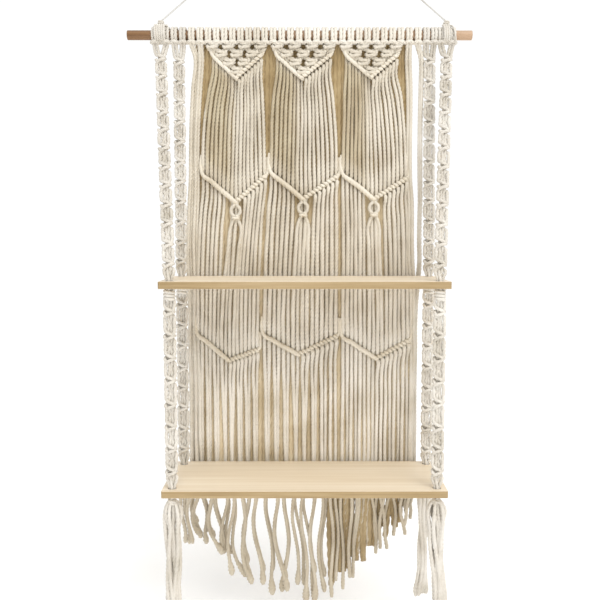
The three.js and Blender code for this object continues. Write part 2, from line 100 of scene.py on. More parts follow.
# %% A smooth line through stations
def smoothed(points, step):
    """A smooth line through the stations, with a new station about every step."""
    spans = [max((b - a).to_3d().length, 1e-6) for a, b in zip(points, points[1:])]
    slopes = [(points[1] - points[0]) / spans[0]]
    for i in range(1, len(points) - 1):
        before = (points[i] - points[i - 1]) / spans[i - 1]
        after = (points[i + 1] - points[i]) / spans[i]
        slopes.append((before * spans[i] + after * spans[i - 1]) / (spans[i - 1] + spans[i]))
    slopes.append((points[-1] - points[-2]) / spans[-1])
    line = []
    for i, span in enumerate(spans):
        count = max(1, round(span / step))
        for k in range(count):
            t = k / count
            line.append(
                points[i] * (2 * t ** 3 - 3 * t ** 2 + 1) + points[i + 1] * (3 * t ** 2 - 2 * t ** 3)
                + slopes[i] * span * (t ** 3 - 2 * t ** 2 + t) + slopes[i + 1] * span * (t ** 3 - t ** 2))
    line.append(points[-1])
    return line


print("stations on a straight 100 mm:", len(smoothed([at(0, 0), at(0, -100)], 5 * MM)))

# %% The cut face of a cord
CORD = 4.9              # a free cord of the panel, in millimetres
LAY = 3.2               # length of one turn of the twist, in cord diameters
PLIES = 3
PLY_CORNERS = 3         # corners of the outline for each ply
CORNERS = PLY_CORNERS * PLIES
VALLEY = 0.74           # a valley's share of a ply's reach


def ply_outline(diameter):
    """The cut face of a twisted cord: a bump for each ply and a valley between two."""
    outline = bpy.data.curves.new("outline", "CURVE")
    outline.dimensions = "2D"
    ring = outline.splines.new("POLY")
    ring.points.add(CORNERS - 1)
    for i, corner in enumerate(ring.points):
        reach = diameter / 2 * (VALLEY if i % PLY_CORNERS == 0 else 1.0)
        angle = -math.tau * i / CORNERS
        corner.co = (reach * math.cos(angle), reach * math.sin(angle), 0.0, 1.0)
    ring.use_cyclic_u = True
    return bpy.data.objects.new("outline", outline)


print("a free cord is", CORD, "mm thick with a turn every", round(LAY * CORD, 1), "mm")

# %% Weld a mesh and name it
def welded(mesh):
    """Joins corners that lie on each other, and turns every face outwards."""
    shell = bmesh.new()
    shell.from_mesh(mesh)
    bmesh.ops.remove_doubles(shell, verts=shell.verts, dist=1e-6)
    bmesh.ops.recalc_face_normals(shell, faces=shell.faces)
    shell.to_mesh(mesh)
    shell.free()
    return mesh


def as_piece(name, mesh, smooth=True):
    """Puts a mesh into the scene as an object at the origin."""
    mesh.name = name
    if smooth:
        mesh.shade_smooth()
    piece = bpy.data.objects.new(name, mesh)
    bpy.context.scene.collection.objects.link(piece)
    mesh.calc_loop_triangles()
    print(name, len(mesh.loop_triangles), "triangles")
    return piece


# %% Sweep cords along their routes
def laid_cords(name, routes, diameter=CORD, lay=LAY):
    """Sweeps a twisted cord along each route, as one mesh with welded seams."""
    turn = math.tau / CORNERS
    step = lay * diameter / CORNERS * MM
    sweep = bpy.data.curves.new(name, "CURVE")
    sweep.dimensions = "3D"
    sweep.twist_mode = "MINIMUM"
    sweep.bevel_mode = "OBJECT"
    sweep.bevel_object = ply_outline(diameter * MM)
    sweep.use_fill_caps = True
    for number, route in enumerate(routes):
        line = smoothed(route, step)
        spline = sweep.splines.new("POLY")
        spline.points.add(len(line) - 1)
        spline.points.foreach_set("co", [c for p in line for c in (p.x, p.y, p.z, 1.0)])
        spline.points.foreach_set("tilt", [turn * i + number for i in range(len(line))])
        spline.points.foreach_set("radius", [p.w for p in line])
    holder = bpy.data.objects.new(name + "_sweep", sweep)
    bpy.context.scene.collection.objects.link(holder)
    swept = holder.evaluated_get(bpy.context.evaluated_depsgraph_get())
    mesh = bpy.data.meshes.new_from_object(swept)
    bpy.data.objects.remove(holder)
    bpy.data.curves.remove(sweep)
    return as_piece(name, welded(mesh))


# %% [markdown]
# ## How a finish is made
# Each finish starts from what the real surface is and is named for it. One small function adds a
# node with its settings and links, and colours are written as the hex values that a screen shows.

# %% Colours and nodes
def hex_colour(code):
    """Turns an sRGB hex value into the linear colour that the nodes work with."""
    shares = [int(code[i:i + 2], 16) / 255 for i in (1, 3, 5)]
    return [s / 12.92 if s <= 0.04045 else ((s + 0.055) / 1.055) ** 2.4 for s in shares] + [1.0]


def add_node(finish, kind, settings=None, links=None):
    """Adds a node, gives it its settings, and links its named inputs to other outputs."""
    node = finish.node_tree.nodes.new(kind)
    for key, value in (settings or {}).items():
        if key in node.inputs:
            node.inputs[key].default_value = value
        else:
            setattr(node, key, value)
    for key, socket in (links or {}).items():
        finish.node_tree.links.new(socket, node.inputs[key])
    return node


def new_finish(name):
    """A material with no nodes yet."""
    finish = bpy.data.materials.new(name)
    finish.use_nodes = True
    finish.node_tree.nodes.clear()
    return finish


print("mid grey in linear light:", round(hex_colour("#808080")[0], 3))

# %% Ramps and mixes
def colour_steps(finish, value, steps):
    """A ramp from a value to colours, given as rows of place and hex colour."""
    ramp = add_node(finish, "ShaderNodeValToRGB", links={"Fac": value})
    points = ramp.color_ramp.elements
    while len(points) < len(steps):
        points.new(0.5)
    for point, (place, code) in zip(points, steps):
        point.position = place
        point.color = hex_colour(code)
    return ramp.outputs["Color"]


def mixed(finish, share, first, second):
    """Goes from the first colour to the second as the share goes from 0 to 1."""
    mix = add_node(finish, "ShaderNodeMix", {"data_type": "RGBA"})
    for socket, output in ((mix.inputs[0], share), (mix.inputs[6], first), (mix.inputs[7], second)):
        finish.node_tree.links.new(output, socket)
    return mix.outputs[2]


# %% [markdown]
# ### Cotton cord
# Soft single-twist cotton is matt, with a faint fuzz that catches light at grazing angles, so its
# roughness is high and it has a little sheen. Fine fibres run along the plies: the swept mesh's own
# UV map follows them, with u along the cord and v round it. Real fibres are 0.02 mm thick and too
# fine to show, so they are drawn about 0.2 mm apart. Undyed cotton also drifts in tone every few
# centimetres. The panel's finish also carries painted light and shade: it mixes a dark straw row of
# tones, which is painted shade, and a pale row, which is painted light, by a number that the mesh
# carries.

# %% Cotton finishes
DRIFT_SIZE = 0.045              # metres from one tone to the next
DRIFT = (0.3, 0.5, 0.72)        # places of the three tones on the drift from light to dark
FIBRES = (28.0, 90.0, 1.0)      # flecks along a cord's whole length, and fibres round it


def cotton(name, tones, painted_light_tones=None):
    """Undyed twisted cotton, from its lightest to its darkest tone, and where a second row is given, the
    tones of painted light that a number on the mesh mixes in.
    """
    finish = new_finish(name)
    place = add_node(finish, "ShaderNodeTexCoord")
    drift = add_node(finish, "ShaderNodeTexNoise",
                     {"Scale": 1 / DRIFT_SIZE, "Detail": 3.0, "Roughness": 0.6},
                     {"Vector": place.outputs["Object"]})
    tone = colour_steps(finish, drift.outputs["Fac"], list(zip(DRIFT, tones)))
    # Painted light and shade: a number on each corner mixes the dark tones, painted shade, with the light
    # ones, painted light.
    if painted_light_tones:
        share = add_node(finish, "ShaderNodeAttribute", {"attribute_name": "painted_light_share"})
        light = colour_steps(finish, drift.outputs["Fac"], list(zip(DRIFT, painted_light_tones)))
        tone = mixed(finish, share.outputs["Fac"], tone, light)
    fibre_map = add_node(finish, "ShaderNodeMapping", {"Scale": FIBRES},
                         {"Vector": place.outputs["UV"]})
    fibres = add_node(finish, "ShaderNodeTexNoise", {"Scale": 1.0, "Detail": 2.0, "Distortion": 0.3},
                      {"Vector": fibre_map.outputs["Vector"]})
    fleck = add_node(finish, "ShaderNodeMapRange",
                     {"From Min": 0.25, "From Max": 0.75, "To Min": 0.86, "To Max": 1.06},
                     {"Value": fibres.outputs["Fac"]})
    colour = add_node(finish, "ShaderNodeVectorMath", {"operation": "SCALE"},
                      {"Vector": tone, "Scale": fleck.outputs["Result"]})
    fuzz = add_node(finish, "ShaderNodeBump", {"Strength": 0.45, "Distance": 0.0004},
                    {"Height": fibres.outputs["Fac"]})
    surface = add_node(finish, "ShaderNodeBsdfPrincipled",
                       {"Roughness": 0.92, "Sheen Weight": 0.1, "Sheen Roughness": 0.6, "IOR": 1.5},
                       {"Base Color": colour.outputs["Vector"], "Normal": fuzz.outputs["Normal"]})
    add_node(finish, "ShaderNodeOutputMaterial", links={"Surface": surface.outputs["BSDF"]})
    return finish


# The panel's first row is painted shade, a dark straw, and its second row is painted light.
panel_cotton = cotton("panel_cotton_cord", ["#C6B898", "#B8A887", "#A49270"],
                      ["#F5F0E7", "#ECE6DB", "#DDD5C6"])
cream_cotton = cotton("cream_cotton_cord", ["#F3ECDE", "#E9E0CF", "#D8CCB6"])
pale_cotton = cotton("pale_cotton_cord", ["#E9E5DD", "#DED8CE", "#CBC4B6"])
# The cords behind are painted shade in a dark straw, with a second row of painted light for lower down.
straw_cotton = cotton("straw_cotton_cord", ["#B9A47C", "#A99269", "#957E56"],
                      ["#E6D8BC", "#D9C9AA", "#C6B491"])
thin_cotton = cotton("thin_hanging_cord", ["#E2E1DE", "#D6D4D0", "#C4C1BB"])
print("cotton finishes:", [finish.name for finish in bpy.data.materials if "cotton" in finish.name])

# %% Dress a piece
def dress(piece, finish, slot, *nodes):
    """Gives a piece its finish, puts it on the root body, and hides the CAD nodes that it stands for."""
    piece.data.materials.clear()
    piece.data.materials.append(finish)
    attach(piece, "root")
    if nodes:
        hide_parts(*nodes)
    return piece


# %% [markdown]
# ## The hanging cord
# A thin cord is tied round the dowel near each end and runs up over one nail. The weight of the
# shelf pulls both legs straight, so its line is two tangents and a small arc over the nail, the same
# line as in the CAD model.

# %% Hanging cord
THIN = 2.2                               # its diameter
NAIL_SHANK = 3.4
CLEAR = 0.3                              # the CAD model's clearance between pieces that touch
BEND = NAIL_SHANK / 2 + CLEAR + THIN / 2
TIES = {"left": -189.0, "right": 188.0}  # where it is tied to the dowel
KNOB_TOP = 18.0 + THIN / 2               # where it leaves its knob, above the dowel's axis
KNOB_IN = 1.5                            # and how far in from the middle of its tie
LEG_STEPS = 9
ARC_STEPS = 6


def touching_angle(foot, side):
    """Where a straight leg from this foot meets the arc over the nail."""
    tilt = math.acos(BEND / math.hypot(*foot))
    return (math.atan2(foot[1], foot[0]) + side * tilt) % math.tau


feet = {"left": (TIES["left"] + KNOB_IN, KNOB_TOP - DROP),
        "right": (TIES["right"] - KNOB_IN, KNOB_TOP - DROP)}
start_angle = touching_angle(feet["left"], -1)
end_angle = touching_angle(feet["right"], 1)
arc = [start_angle + (end_angle - start_angle) * i / ARC_STEPS for i in range(ARC_STEPS + 1)]
over_nail = [(BEND * math.cos(a), BEND * math.sin(a)) for a in arc]


def leg(start, end):
    """Places along a straight leg, without its last one."""
    return [tuple(a + (b - a) * i / LEG_STEPS for a, b in zip(start, end)) for i in range(LEG_STEPS)]


hang_line = leg(feet["left"], over_nail[0]) + over_nail[:-1] + leg(over_nail[-1], feet["right"])
hang_line.append(feet["right"])
hang_route = [at(x, z + DROP) for x, z in hang_line]
hanging_cord = laid_cords("hanging_cord", [hang_route], THIN)
dress(hanging_cord, thin_cotton, "hanging_cord", "hanger_cord")

# %% [markdown]
# ## How the hanging cord is tied
# Each end goes three times round the dowel, binds the two outer knots of the braids together and
# goes round itself above them, which makes the pale bundle and knob that the photograph shows. At
# the right end the cut tail hangs down in front.

# %% Ties of the hanging cord
DOWEL_RADIUS = 6.25
PER_TURN = 12           # stations in one turn of a coil


def coil(centre, radius, turns, rise, axis, start=0.0, full=1.0):
    """Stations of a coil round x, as on the dowel, or z. It goes on by the rise at each station."""
    stations = []
    count = round(turns * PER_TURN)
    for i in range(count + 1):
        angle = start + math.tau * i / PER_TURN
        along = rise * (i - count / 2)
        a, b = radius * math.cos(angle), radius * math.sin(angle)
        if axis == "x":
            stations.append(at(centre[0] + along, centre[1] + a, centre[2] + b, full))
        else:
            stations.append(at(centre[0] + a, centre[1] + along, centre[2] + b, full))
    return stations


for side, tie_x in TIES.items():
    sign = -1 if side == "left" else 1
    wrap = coil((tie_x, 0, 0), DOWEL_RADIUS + THIN / 2 + 0.2, 2.6, 0.17, "x", start=math.pi / 2)
    knob = coil((tie_x, 14.0, 0), 3.3, 3.4, 0.19, "z", full=1.15)
    stem = [at(tie_x + sign * 1.2, 8.0, 1.5), at(tie_x, 12.0, 0.4), at(tie_x - sign * 0.6, 16.0, 0.0),
            at(tie_x - sign * KNOB_IN, KNOB_TOP, 0.0)]
    binding = coil((tie_x - sign * 0.5, 0.6, 2.4), 11.6, 5 if side == "left" else 3, 0.24, "x", full=1.55)
    routes = [wrap, knob, stem, binding]
    if side == "right":
        routes.append([at(tie_x + 2.0, 12.0, 2.5), at(tie_x + 6.5, 10.0, 8.0), at(tie_x + 9.0, 2.0, 13.0),
                       at(tie_x + 10.2, -6.0, 13.0), at(tie_x + 10.8, -13.0, 10.5),
                       at(tie_x + 10.4, -15.0, 10.0, 0.8)])
    tie = laid_cords("hanging_tie_" + side, routes, THIN)
    dress(tie, pale_cotton, "pale_cotton", "hanger_knot_" + side)

# %% [markdown]
# ## The knots of this panel
# Three knots make the whole panel. A lark's head holds each folded cord on the dowel: both ends go
# over the dowel and come down behind the fold. A square knot ties two outer cords round two inner
# ones: its front shows two bars, one above the other, and a loop at each side. A double half hitch
# goes twice round a holding cord. A row of them, pulled tight, is a slanting bar of fine ridges, so
# the row is made as one winding and the strands go in behind it. Each knot is written once, as
# stations round its own middle, and placed where the CAD model has it.

# %% Knots as stations
LARKS_HEAD = [          # across, up, forward: from the middle of the fold to the tail, right half
    (0.0, -9.6, 9.3), (2.6, -10.0, 8.8), (4.6, -10.6, 5.8), (4.3, -10.2, 0.6), (3.3, -6.6, -6.2),
    (2.6, 0.0, -8.1), (2.4, 6.1, -6.1), (2.3, 8.7, 0.0), (2.25, 6.1, 6.2), (2.2, 0.0, 8.7),
    (2.1, -5.0, 7.5), (2.0, -9.4, 5.0),
]
SQUARE_KNOT = [         # across, up, forward for each of the four cords, in a knot ten units high
    [(-4.0, 5.0, 0.2), (-4.8, 3.4, 1.6), (0.0, 2.3, 4.2), (4.5, 1.3, 2.8), (5.9, 0.1, 0.5),
     (4.5, -1.1, 2.8), (0.0, -2.1, 4.2), (-4.6, -3.3, 1.9), (-4.2, -5.0, 0.2)],
    [(-1.8, 5.0, 0.0), (-1.8, 0.0, 0.0), (-1.8, -5.0, 0.0)],
    [(1.8, 5.0, 0.0), (1.8, 0.0, 0.0), (1.8, -5.0, 0.0)],
    [(4.0, 5.0, 0.2), (5.6, 3.6, 2.2), (5.6, 1.9, 4.6), (4.4, 0.1, 1.2), (2.4, 0.1, -3.2),
     (-2.4, 0.2, -3.7), (-5.0, 0.4, -1.6), (-6.0, -0.5, 0.8), (-5.2, -2.0, 4.4), (-4.3, -3.4, 0.6),
     (-2.0, -3.2, -3.5), (2.4, -3.4, -3.3), (4.9, -3.9, -0.6), (4.2, -5.0, 0.2)],
]
BRAID_KNOT = [          # the same knot pulled less tight, as it is in a braid
    [(-5.8, 7.5, 0.6), (-4.7, 5.2, 2.8), (0.0, 2.6, 4.5), (4.5, 0.8, 3.2), (5.9, -0.2, 0.6),
     (4.5, -1.2, 3.2), (0.0, -2.8, 4.5), (-4.6, -5.2, 2.6), (-5.8, -7.5, 0.4)],
    [(-1.9, 7.0, -0.4), (-1.7, 0.0, 0.0), (-1.9, -7.0, -0.4)],
    [(1.9, 7.0, -0.4), (1.7, 0.0, 0.0), (1.9, -7.0, -0.4)],
    [(5.8, 7.5, 0.4), (5.6, 4.6, 2.6), (5.3, 2.2, 4.6), (4.2, 0.3, 1.4), (2.2, 0.1, -3.2),
     (-2.2, 0.2, -3.7), (-5.2, 0.3, -1.4), (-6.0, -0.8, 0.8), (-5.4, -2.6, 4.5), (-4.6, -3.9, 0.8),
     (-1.8, -4.4, -3.3), (2.2, -4.8, -3.1), (5.0, -6.0, -0.6), (5.8, -7.5, 0.3)],
]
IN_KNOT = 0.95          # how full a cord is inside a knot of the net
IN_HEAD = 0.95          # and in a lark's head
HITCH_STATIONS = 8      # in one turn of a row of hitches
HITCH_PITCH = 5.2       # from one hitch to the next


def between(low, high, share):
    """The value at this share of the way from low to high."""
    return low + (high - low) * share


def head_half(x, side):
    """Half a lark's head, from the middle of its fold to the start of its tail."""
    return [at(x + side * u, v, f, IN_HEAD) for u, v, f in LARKS_HEAD]


def winding(start, end, radius, full, forward):
    """A row of tight hitches: cord wound side by side round the line between two places."""
    line = Vector(end) - Vector(start)
    along = line.normalized()
    above = Vector((-along.y, along.x))
    turns = round(line.length / HITCH_PITCH)
    stations = []
    for i in range(HITCH_STATIONS * turns + 1):
        angle = math.tau * i / HITCH_STATIONS
        place = Vector(start) + line * i / (HITCH_STATIONS * turns) + above * radius * math.cos(angle)
        stations.append(at(place.x, place.y, forward + radius * math.sin(angle), full))
    return stations


print("stations in a lark's head and a square knot:", 2 * len(LARKS_HEAD) - 1,
      sum(len(c) for c in SQUARE_KNOT))

# %% [markdown]
# ## Where the cords run
# These are the CAD model's values: the five groups of knots on the dowel, the points of the three
# triangles, both zigzags and the cut edge of the fringe. Each strand finds its own place on every
# line, so it runs from its knot on the dowel down to the fringe as one piece of cord, as it does in
# the real panel.

# %% The panel's lines
GROUPS = [              # name, from, to, knots on the dowel, the point of its triangle
    ("left_side", -153.8, -131.4, 2, None),
    ("first_triangle", -131.4, -46.6, 8, (-90.1, -56.5)),
    ("middle_triangle", -46.6, 44.9, 8, (-3.4, -56.0)),
    ("last_triangle", 44.9, 132.8, 8, (88.7, -55.0)),
    ("right_side", 132.8, 155.7, 2, None),
]
SECOND_ZIGZAG = [       # left end, point and right end of each V
    ((-137.9, -180.4), (-92.0, -219.0), (-50.2, -183.1)),
    ((-46.9, -177.8), (-1.3, -215.0), (46.0, -183.7)),
    ((49.5, -180.4), (94.0, -215.0), (139.3, -186.4)),
]
THIRD_ZIGZAG = [
    ((-147.1, -396.2), (-102.4, -434.1), (-61.4, -418.9)),
    ((-57.2, -397.6), (-8.1, -425.9), (46.5, -399.7)),
    ((50.6, -400.4), (98.6, -431.4), (144.8, -405.9)),
]
CUT = [                 # the lower edge of the fringe
    (-152, -682), (-130, -700), (-98, -741), (-62, -756), (-29, -765), (6, -775), (48, -761),
    (70, -743), (91, -716), (126, -684), (142, -664),
]
BORDER_INSET = 9.0
BORDER_TOP = -25.4
SIDE_LEVELS = (-28.0, -190.0, -300.0, -415.0)
SIDE_STRANDS = {        # places at these levels of the cords that hang beside the zigzags
    "left_side": [(-144.5, -152.5, -157.5, -156.0), (-141.2, -149.0, -153.5, -152.6),
                  (-138.0, -145.5, -149.0, -149.4), (-134.8, -142.2, -144.8, -146.4)],
    "right_side": [(136.0, 139.5, 143.0, 147.0), (140.3, 143.0, 147.5, 151.0),
                   (154.0, 155.0, 156.0, 149.0), (156.0, 157.0, 157.5, 153.0)],
}
EYE_DROP = 11.8         # from a zigzag's point down to the middle of its eye


def height_on(line, x):
    """Height of a line of places at x."""
    for (x0, z0), (x1, z1) in zip(line, line[1:]):
        if x <= x1:
            return z0 + (z1 - z0) * min(max((x - x0) / (x1 - x0), 0.0), 1.0)
    return line[-1][1]


def strands_of(number):
    """For each strand of a group: its place on the border, the second and the third line."""
    name, low, high, knots, point = GROUPS[number]
    count = 2 * knots
    rows = []
    for k in range(count):
        share = (k + 0.5) / count
        if point is None:
            rows.append({"third": SIDE_STRANDS[name][k][-1]})
        else:
            second, third = SECOND_ZIGZAG[number - 1], THIRD_ZIGZAG[number - 1]
            rows.append({
                "border": between(low + BORDER_INSET, high - BORDER_INSET, share),
                "second": between(second[0][0], second[2][0], share),
                "third": between(third[0][0], third[2][0], share),
            })
    for k, row in enumerate(rows):
        row["pair"] = (row["third"] + rows[k + 1 if k % 2 == 0 else k - 1]["third"]) / 2
    return rows


print("strands in each group:", [len(strands_of(n)) for n in range(len(GROUPS))])

# %% [markdown]
# ## From the dowel through the net to each line
# In a triangle the sixteen cords are tied in rows of four, three, two and one square knots. Each
# row takes two cords from each neighbour of the row above, so small holes stay open between the
# knots. The rows are a little further apart than the CAD model's, as in the photograph. On the right
# arm of every V each strand goes in behind the row of hitches and comes out in front below it, in a
# small hook. On the left arm it only passes behind the holding cord, which is why that arm looks
# smooth and the strands below it lie in its shade.

# %% One strand at a time
NET_ROWS = 4            # and as many knots in the first row
KNOT_CORDS = 4
NET_TOP = -13.8
NET_STEP = 11.0
NET_LEAN = 0.04         # how much a row is narrower than the one above
NET_WIDE = 1.14         # the knot's stations are pulled to this share of their width


def place_knot(cord, x, z):
    """Stations of one of the four cords of a square knot, at its place in the net."""
    return [at(x + u * NET_WIDE, z + v, 1.4 + 1.15 * f, IN_KNOT) for u, v, f in SQUARE_KNOT[cord]]


def through_net(number, k):
    """A cord's stations through every knot of the net that it is tied in."""
    name, low, high, knots, point = GROUPS[number]
    stations = []
    for row in range(NET_ROWS):
        knot, cord = divmod(k - 2 * row, KNOT_CORDS)
        count = NET_ROWS - row
        if not 0 <= knot < count:
            continue
        share = 1 - NET_LEAN * row
        row_middle = between(point[0], (low + high) / 2, share)
        x = row_middle + (knot - (count - 1) / 2) * (high - low) / NET_ROWS * share
        stations += place_knot(cord, x, NET_TOP - row * NET_STEP)
    return stations


def meet_line(v, x, depth, full, in_front=False):
    """Stations of a strand at a V: above it, behind it, and below it, in front where it is tied in."""
    left, point, right = v
    z = height_on([left, point, right], x)
    stations = [at(x, z + 5.5, 0.3, full), at(x, z + 0.5, -2.4, 0.85 * full)]
    if not in_front:
        return stations + [at(x, z - 7.0, depth - 0.8, full), at(x, z - 15.0, depth - 0.6, full)]
    return stations + [at(x + 0.6, z - 4.2, 0.2, full), at(x + 1.3, z - 5.8, 3.4, 1.12 * full),
                       at(x + 1.2, z - 9.5, 3.4, 1.05 * full), at(x + 0.5, z - 16.0, depth + 1.6, full)]


def hang(start, end, depth, full, seed, count=4):
    """Free stretch of a strand between two stations. Neighbours sway together, each a little its own."""
    stations = []
    for i in range(1, count):
        share = i / count
        middle = start.lerp(end, share)
        sway = 0.6 * math.sin(0.5 * seed + 4 * share) + 0.4 * uneven(i, seed)
        middle.x = between(start.x, end.x, 1 - (1 - share) ** 2) + sway * MM
        middle.y = (AXIS_Y - depth - 0.4 * uneven(i, seed + 3)) * MM
        middle.w = full * (1.0 + 0.05 * uneven(i, seed + 5))
        stations.append(middle)
    return stations


print("a middle cord has", len(through_net(1, 7)), "stations in its net")

# %% [markdown]
# ## The fringe
# Below the last zigzag the strands hang free behind the lower board. In the left and the middle
# they hang two and two together, one behind the other, with soft waves, a sweep to the right and
# thicker ends, as they were once knotted and have come a little undone. At the right they are
# crowded and straighter. All are cut to a shallow V. Under each point of the second zigzag two
# strands go round a small eye before they cross.

# %% Eyes and fringe ends
BOARD_UNDER = -582.5    # underside of the lower board
RING = 6.2              # radius of an eye's middle line
CROWDED = (16.0, 42.0)  # across: from pairs to a crowd
WAVE = (4.2, 2.2)       # how far a strand waves in a pair, and in the crowd
SWEEP = (7.0, 9.0)      # a pair's end swings this far to the right, and unevenly by this much
FRINGE_STEPS = 7
PAIR_LAYER = 3.0        # how far a pair hangs forward or back
FOOT_DRIFT = 7.0        # how far across its end drifts from its start
CUT_SHORT = (14.0, 26.0)    # the second strand of a pair is this much shorter, at least and unevenly
SWOLLEN = 0.2           # how much thicker the end of a loose strand is


def eye_half(point, side):
    """A strand as it goes round its half of an eye and crosses below to the other side."""
    x, z = point
    stations = []
    for degrees in (22, 55, 90, 125, 155):
        angle = math.radians(degrees)
        stations.append(at(x + side * RING * math.sin(angle), z - EYE_DROP + 1.15 * RING * math.cos(angle),
                           3.6, 1.0))
    return stations + [at(x, z - 20.5, 3.0 + side * 2.2, 0.85), at(x - side * 3.6, z - 25.0, 2.4, 0.95),
                       at(x - side * 6.6, z - 33.0, 1.2)]


def fringe_end(x, z, pair_x, tally):
    """Stations of a strand from the zigzag down to its cut end. Two strands hang as one pair."""
    pair, second = divmod(tally, 2)
    side = 1 if second else -1
    crowd = min(max((pair_x - CROWDED[0]) / (CROWDED[1] - CROWDED[0]), 0.0), 1.0)
    pair_x = between(pair_x, x, crowd)
    layer = PAIR_LAYER if pair % 2 else -PAIR_LAYER
    foot = pair_x + FOOT_DRIFT * uneven(pair, 5)
    shorter = CUT_SHORT[0] + CUT_SHORT[1] * abs(uneven(tally, 7)) if second else 8 * uneven(pair, 9)
    low = height_on(CUT, foot) + shorter
    straight = BOARD_UNDER - 4     # it hangs straight down to just below the board
    stations = [at(between(x, pair_x, 0.4), between(z, straight, 0.35), -side * 1.0),
                at(between(x, pair_x, 0.8) + side * 0.8, between(z, straight, 0.75), -side * 1.8),
                at(pair_x + side * 0.5, straight, layer * 0.4 - side * 2.0)]
    kick = between(SWEEP[0] + SWEEP[1] * uneven(pair, 23), 8.0 * uneven(pair, 23), crowd)
    depth = straight - height_on(CUT, foot)
    for i in range(1, FRINGE_STEPS + 1):
        share = i / FRINGE_STEPS
        level = between(straight, low, share)
        along = (straight - level) / depth
        wave = between(*WAVE, crowd) * math.sin(along * 8.0 + 6 * uneven(pair, 11)) * min(1.0, 3 * along)
        wave += kick * along ** 4
        forward = layer * (0.4 + 0.6 * min(1.0, 2 * share)) - side * 2.2
        stations.append(at(between(pair_x, foot, along) + wave + side * 0.5, level, forward,
                           between(1.0 + SWOLLEN * along ** 4, 1.0, crowd)))
    end = stations[-1].copy()
    end.z -= 1.0 * MM
    end.w = 0.95
    return stations + [end]


print("an eye is", 2 * RING + CORD, "mm wide")

# %% [markdown]
# ## Tie the panel
# Two neighbouring strands are the two ends of one folded cord, so their stations are joined at the
# fold of their lark's head. Strands next to each other hang a little forward and a little back in
# turn, as they do where they are crowded. Each group is a piece of its own.

# %% The route of a strand
LAYERS = (1.9, -1.2, 1.1, -1.5, 0.4, 2.1, -0.9, 0.8)     # how far forward a strand hangs, in turn
HALF = 8                # strands of a triangle on each side of its point
EYE_STRANDS = (6, 9)    # the two that go round an eye


def strand_route(number, k, rows, tally):
    """The whole route of one strand, from its fold on the dowel to its cut end."""
    name, low, high, knots, point = GROUPS[number]
    row = rows[k]
    depth = LAYERS[tally % len(LAYERS)]
    head_x = low + (k // 2 + 0.5) * (high - low) / knots
    route = head_half(head_x, 1 if k % 2 else -1)
    if point is None:
        places = [at(x, z, depth) for x, z in zip(SIDE_STRANDS[name][k], SIDE_LEVELS)]
        for start, end in zip(places, places[1:]):
            route += [start, *hang(start, end, depth, 1.0, tally)]
        route.append(places[-1])
    else:
        second, third = SECOND_ZIGZAG[number - 1], THIRD_ZIGZAG[number - 1]
        border = [(low + BORDER_INSET, BORDER_TOP), point, (high - BORDER_INSET, BORDER_TOP)]
        route += through_net(number, k) + meet_line(border, row["border"], depth, 0.92, k >= HALF)
        in_eye = k in EYE_STRANDS
        line = meet_line(second, row["second"], depth, 1.0, k > EYE_STRANDS[1])
        route += [*hang(route[-1], line[0], depth, 1.0, tally), *line]
        if in_eye:
            route = route[:-2] + eye_half(second[1], 1 if k >= HALF else -1)
            row = rows[2 * HALF - 1 - k]
        full = min(1.2, max(1.0, 0.95 * (third[2][0] - third[0][0]) / (2 * HALF) / CORD))
        line = meet_line(third, row["third"], depth, full, (k < HALF) == in_eye)
        route += [*hang(route[-1], line[0], depth, full, tally + 40, 6), *line]
    return route + fringe_end(row["third"], route[-1].z / MM + DROP, row["pair"], tally)


print("stations of a side strand:", len(strand_route(0, 0, strands_of(0), 0)))

# %% Painted light and shade on the cotton
PAINTED_LIGHT_BY_DEPTH = [              # distance below the dowel, and how much painted light the cotton gets there; low values are painted shade
    (-20, 0.95), (13, 0.95), (20, 0.66), (60, 0.62), (200, 0.7), (300, 0.72), (420, 0.92), (560, 0.95),
    (595, 0.5), (780, 0.42),
]
# Painted light and shade on the cords behind: dark at the top, light lower down, dark again at the end.
REAR_PAINTED_LIGHT = [(0, 0.0), (180, 0.1), (240, 0.75), (420, 1.0), (590, 1.0), (600, 0.25)]


def painted_light_at(x, z):
    """How much painted light the cotton gets at a place. Strands behind the left arms get painted shade,
    for the shade of the arms above them.
    """
    share = height_on(PAINTED_LIGHT_BY_DEPTH, -z) + (0.3 if x > 151 and z > -300 else 0.0)
    for (name, low, high, knots, point), (left, foot, right) in zip(GROUPS[1:4], SECOND_ZIGZAG):
        above = height_on([(low + BORDER_INSET, BORDER_TOP), point], x)
        below = height_on([left, foot], x)
        if low < x < point[0] and below < z < above:
            share -= 0.5 * min(1.0, (point[0] - x) / 14, (above - z) / 12, (z - below) / 30)
    return share


def dress_with_painted_light(cords, finish, painted_light_of, *nodes):
    """Writes into each corner how much painted light or painted shade it gets, and gives the cords their
    finish.
    """
    painted_light_share = cords.data.attributes.new("painted_light_share", "FLOAT", "POINT")
    places = [v.co / MM for v in cords.data.vertices]
    painted_light_share.data.foreach_set("value", [painted_light_of(p.x, p.z + DROP) for p in places])
    dress(cords, finish, "cotton_cord", *nodes)


# %% The panel's cords
tally = 0
for number, group in enumerate(GROUPS):
    routes = []
    rows = strands_of(number)
    for k in range(0, len(rows), 2):
        left_end = strand_route(number, k, rows, tally)
        right_end = strand_route(number, k + 1, rows, tally + 1)
        routes.append(list(reversed(left_end)) + right_end[1:])
        tally += 2
    cords = laid_cords("cords_" + group[0], routes)
    dress_with_painted_light(cords, panel_cotton, painted_light_at, "macrame_panel", "fringe")
